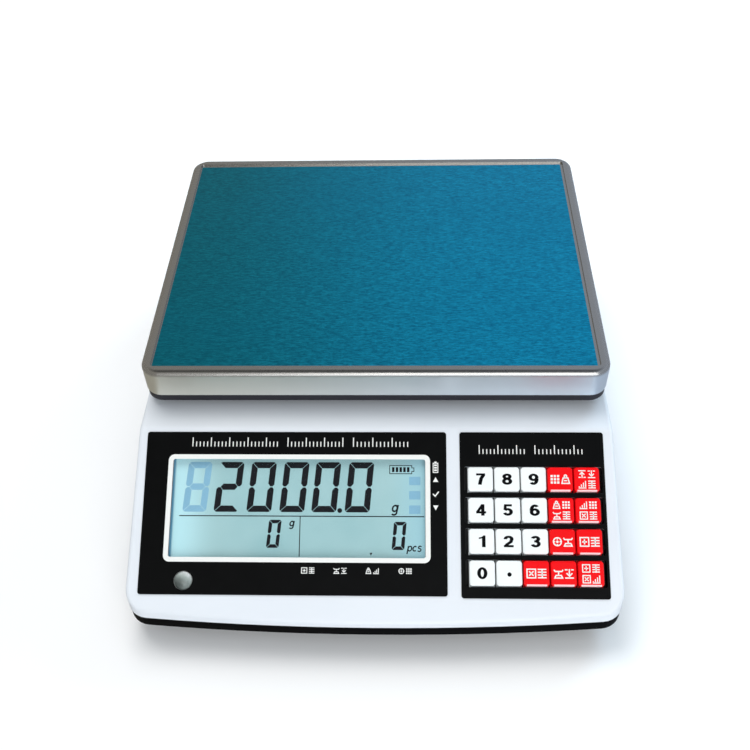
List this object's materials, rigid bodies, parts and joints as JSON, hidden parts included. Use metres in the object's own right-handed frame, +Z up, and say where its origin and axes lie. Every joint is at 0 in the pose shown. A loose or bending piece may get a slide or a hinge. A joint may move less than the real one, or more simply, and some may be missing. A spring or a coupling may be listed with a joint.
{
  "type": "counting scale",
  "caption": "Desk-top counting scale: a lift-off steel pan on a single-point load cell, a sloped panel with display and keypad, levelling feet and a battery bay.",
  "frame": {"origin": "middle of the scale's bounding box, on the table it stands on", "axes": "+Z up, +Y from the keypad panel at the front to the rear wall, +X to the user's right"},
  "size_m": [0.2726, 0.327, 0.105],
  "materials": {
    "shell_white": "satin moulded ABS",
    "shell_black": "fine spark texture",
    "pan_steel": "polished with a fine brushed grain",
    "film_blue": "thin translucent film over brushed steel",
    "tray_black": "moulded ABS",
    "rubber_black": "matt",
    "cast_aluminium": "as cast",
    "machined_aluminium": "machined",
    "screw_steel": "zinc plated",
    "overlay_black": "smooth polycarbonate sheet",
    "window_clear": "clear acrylic",
    "lcd_panel": "lit liquid crystal panel",
    "backlight_white": "diffusing light guide",
    "board_green": "solder mask",
    "level_grey": "satin",
    "level_liquid": "clear liquid under a lens",
    "key_white": "gloss",
    "key_red": "gloss",
    "mat_silicone": "translucent silicone",
    "battery_case": "moulded ABS",
    "transformer_iron": "varnished laminations",
    "inlet_black": "moulded nylon"
  },
  "bodies": {
    "base": {"upper_housing": "shell_white", "lower_housing": "shell_black", "housing_screws": "screw_steel", "load_cell": "machined_aluminium", "cell_bolts": "screw_steel", "base_frame": "cast_aluminium", "base_frame_screws": "screw_steel", "overload_stop": "screw_steel", "display_overlay": "overlay_black", "display_window": "window_clear", "lcd_glass": "lcd_panel", "lcd_backlight": "backlight_white", "display_board": "board_green", "level_cup": "level_grey", "level_lens": "level_liquid", "keypad_overlay": "overlay_black", "keypad_mat": "mat_silicone", "keypad_board": "board_green", "main_board": "board_green", "battery": "battery_case", "mains_transformer": "transformer_iron", "power_inlet": "inlet_black", "switch_body": "inlet_black"},
    "platform": {"support_tray": "tray_black", "tray_screws": "screw_steel", "spider": "cast_aluminium", "spider_bolts": "screw_steel", "pan_cushions": "rubber_black"},
    "pan": {"weighing_pan": "pan_steel", "protective_film": "film_blue"},
    "key_7_cap": {"key_7": "key_white"},
    "key_8_cap": {"key_8": "key_white"},
    "key_9_cap": {"key_9": "key_white"},
    "key_sample_cap": {"key_sample": "key_red"},
    "key_limits_cap": {"key_limits": "key_red"},
    "key_4_cap": {"key_4": "key_white"},
    "key_5_cap": {"key_5": "key_white"},
    "key_6_cap": {"key_6": "key_white"},
    "key_unit_weight_cap": {"key_unit_weight": "key_red"},
    "key_preset_clear_cap": {"key_preset_clear": "key_red"},
    "key_1_cap": {"key_1": "key_white"},
    "key_2_cap": {"key_2": "key_white"},
    "key_3_cap": {"key_3": "key_white"},
    "key_zero_cap": {"key_zero": "key_red"},
    "key_total_cap": {"key_total": "key_red"},
    "key_0_cap": {"key_0": "key_white"},
    "key_point_cap": {"key_point": "key_white"},
    "key_clear_cap": {"key_clear": "key_red"},
    "key_tare_cap": {"key_tare": "key_red"},
    "key_total_clear_cap": {"key_total_clear": "key_red"},
    "door": {"battery_door": "shell_black"},
    "rocker": {"switch_rocker": "inlet_black"},
    "stud_front_left": {"foot_stud_front_left": "screw_steel"},
    "knob_front_left": {"foot_knob_front_left": "rubber_black"},
    "stud_front_right": {"foot_stud_front_right": "screw_steel"},
    "knob_front_right": {"foot_knob_front_right": "rubber_black"},
    "stud_rear_left": {"foot_stud_rear_left": "screw_steel"},
    "knob_rear_left": {"foot_knob_rear_left": "rubber_black"},
    "stud_rear_right": {"foot_stud_rear_right": "screw_steel"},
    "knob_rear_right": {"foot_knob_rear_right": "rubber_black"}
  },
  "joints": [
    {"name": "platform_deflection", "type": "slide", "parent": "base", "child": "platform", "axis": [0, 0, 1], "range_m": [-0.0006, 0], "stiffness_N_per_m": 75000, "springref_m": 0.00016, "deforming": ["load_cell"]},
    {"name": "pan_lift", "type": "slide", "parent": "platform", "child": "pan", "axis": [0, 0, 1], "range_m": [0, 0.06]},
    {"name": "key_7_press", "type": "slide", "parent": "base", "child": "key_7_cap", "axis": [0, 0.4879, -0.8729], "range_m": [0, 0.001], "stiffness_N_per_m": 500, "springref_m": -0.0006, "deforming": ["keypad_mat"]},
    {"name": "key_8_press", "type": "slide", "parent": "base", "child": "key_8_cap", "axis": [0, 0.4879, -0.8729], "range_m": [0, 0.001], "stiffness_N_per_m": 500, "springref_m": -0.0006, "deforming": ["keypad_mat"]},
    {"name": "key_9_press", "type": "slide", "parent": "base", "child": "key_9_cap", "axis": [0, 0.4879, -0.8729], "range_m": [0, 0.001], "stiffness_N_per_m": 500, "springref_m": -0.0006, "deforming": ["keypad_mat"]},
    {"name": "key_sample_press", "type": "slide", "parent": "base", "child": "key_sample_cap", "axis": [0, 0.4879, -0.8729], "range_m": [0, 0.001], "stiffness_N_per_m": 500, "springref_m": -0.0006, "deforming": ["keypad_mat"]},
    {"name": "key_limits_press", "type": "slide", "parent": "base", "child": "key_limits_cap", "axis": [0, 0.4879, -0.8729], "range_m": [0, 0.001], "stiffness_N_per_m": 500, "springref_m": -0.0006, "deforming": ["keypad_mat"]},
    {"name": "key_4_press", "type": "slide", "parent": "base", "child": "key_4_cap", "axis": [0, 0.4879, -0.8729], "range_m": [0, 0.001], "stiffness_N_per_m": 500, "springref_m": -0.0006, "deforming": ["keypad_mat"]},
    {"name": "key_5_press", "type": "slide", "parent": "base", "child": "key_5_cap", "axis": [0, 0.4879, -0.8729], "range_m": [0, 0.001], "stiffness_N_per_m": 500, "springref_m": -0.0006, "deforming": ["keypad_mat"]},
    {"name": "key_6_press", "type": "slide", "parent": "base", "child": "key_6_cap", "axis": [0, 0.4879, -0.8729], "range_m": [0, 0.001], "stiffness_N_per_m": 500, "springref_m": -0.0006, "deforming": ["keypad_mat"]},
    {"name": "key_unit_weight_press", "type": "slide", "parent": "base", "child": "key_unit_weight_cap", "axis": [0, 0.4879, -0.8729], "range_m": [0, 0.001], "stiffness_N_per_m": 500, "springref_m": -0.0006, "deforming": ["keypad_mat"]},
    {"name": "key_preset_clear_press", "type": "slide", "parent": "base", "child": "key_preset_clear_cap", "axis": [0, 0.4879, -0.8729], "range_m": [0, 0.001], "stiffness_N_per_m": 500, "springref_m": -0.0006, "deforming": ["keypad_mat"]},
    {"name": "key_1_press", "type": "slide", "parent": "base", "child": "key_1_cap", "axis": [0, 0.4879, -0.8729], "range_m": [0, 0.001], "stiffness_N_per_m": 500, "springref_m": -0.0006, "deforming": ["keypad_mat"]},
    {"name": "key_2_press", "type": "slide", "parent": "base", "child": "key_2_cap", "axis": [0, 0.4879, -0.8729], "range_m": [0, 0.001], "stiffness_N_per_m": 500, "springref_m": -0.0006, "deforming": ["keypad_mat"]},
    {"name": "key_3_press", "type": "slide", "parent": "base", "child": "key_3_cap", "axis": [0, 0.4879, -0.8729], "range_m": [0, 0.001], "stiffness_N_per_m": 500, "springref_m": -0.0006, "deforming": ["keypad_mat"]},
    {"name": "key_zero_press", "type": "slide", "parent": "base", "child": "key_zero_cap", "axis": [0, 0.4879, -0.8729], "range_m": [0, 0.001], "stiffness_N_per_m": 500, "springref_m": -0.0006, "deforming": ["keypad_mat"]},
    {"name": "key_total_press", "type": "slide", "parent": "base", "child": "key_total_cap", "axis": [0, 0.4879, -0.8729], "range_m": [0, 0.001], "stiffness_N_per_m": 500, "springref_m": -0.0006, "deforming": ["keypad_mat"]},
    {"name": "key_0_press", "type": "slide", "parent": "base", "child": "key_0_cap", "axis": [0, 0.4879, -0.8729], "range_m": [0, 0.001], "stiffness_N_per_m": 500, "springref_m": -0.0006, "deforming": ["keypad_mat"]},
    {"name": "key_point_press", "type": "slide", "parent": "base", "child": "key_point_cap", "axis": [0, 0.4879, -0.8729], "range_m": [0, 0.001], "stiffness_N_per_m": 500, "springref_m": -0.0006, "deforming": ["keypad_mat"]},
    {"name": "key_clear_press", "type": "slide", "parent": "base", "child": "key_clear_cap", "axis": [0, 0.4879, -0.8729], "range_m": [0, 0.001], "stiffness_N_per_m": 500, "springref_m": -0.0006, "deforming": ["keypad_mat"]},
    {"name": "key_tare_press", "type": "slide", "parent": "base", "child": "key_tare_cap", "axis": [0, 0.4879, -0.8729], "range_m": [0, 0.001], "stiffness_N_per_m": 500, "springref_m": -0.0006, "deforming": ["keypad_mat"]},
    {"name": "key_total_clear_press", "type": "slide", "parent": "base", "child": "key_total_clear_cap", "axis": [0, 0.4879, -0.8729], "range_m": [0, 0.001], "stiffness_N_per_m": 500, "springref_m": -0.0006, "deforming": ["keypad_mat"]},
    {"name": "battery_door_swing", "type": "hinge", "parent": "base", "child": "door", "pos_m": [-0.0735, 0.0083, 0.0104], "axis": [1, 0, 0], "range_deg": [0, 100]},
    {"name": "power_rocker", "type": "hinge", "parent": "base", "child": "rocker", "pos_m": [0.042, 0.1569, 0.044], "axis": [1, 0, 0], "range_deg": [-16, 0]},
    {"name": "foot_height_front_left", "type": "slide", "parent": "base", "child": "stud_front_left", "axis": [0, 0, -1], "range_m": [0, 0.006]},
    {"name": "foot_turn_front_left", "type": "hinge", "parent": "stud_front_left", "child": "knob_front_left", "pos_m": [-0.108, -0.118, 0.004], "axis": [0, 0, 1], "range_deg": [0, 1734]},
    {"name": "foot_height_front_right", "type": "slide", "parent": "base", "child": "stud_front_right", "axis": [0, 0, -1], "range_m": [0, 0.006]},
    {"name": "foot_turn_front_right", "type": "hinge", "parent": "stud_front_right", "child": "knob_front_right", "pos_m": [0.108, -0.118, 0.004], "axis": [0, 0, 1], "range_deg": [0, 1734]},
    {"name": "foot_height_rear_left", "type": "slide", "parent": "base", "child": "stud_rear_left", "axis": [0, 0, -1], "range_m": [0, 0.006]},
    {"name": "foot_turn_rear_left", "type": "hinge", "parent": "stud_rear_left", "child": "knob_rear_left", "pos_m": [-0.108, 0.128, 0.004], "axis": [0, 0, 1], "range_deg": [0, 1734]},
    {"name": "foot_height_rear_right", "type": "slide", "parent": "base", "child": "stud_rear_right", "axis": [0, 0, -1], "range_m": [0, 0.006]},
    {"name": "foot_turn_rear_right", "type": "hinge", "parent": "stud_rear_right", "child": "knob_rear_right", "pos_m": [0.108, 0.128, 0.004], "axis": [0, 0, 1], "range_deg": [0, 1734]}
  ],
  "couplings": [
    {"joint": "foot_turn_front_left", "follows": "foot_height_front_left", "rad_per_m": 5026.5},
    {"joint": "foot_turn_front_right", "follows": "foot_height_front_right", "rad_per_m": 5026.5},
    {"joint": "foot_turn_rear_left", "follows": "foot_height_rear_left", "rad_per_m": 5026.5},
    {"joint": "foot_turn_rear_right", "follows": "foot_height_rear_right", "rad_per_m": 5026.5}
  ]
}
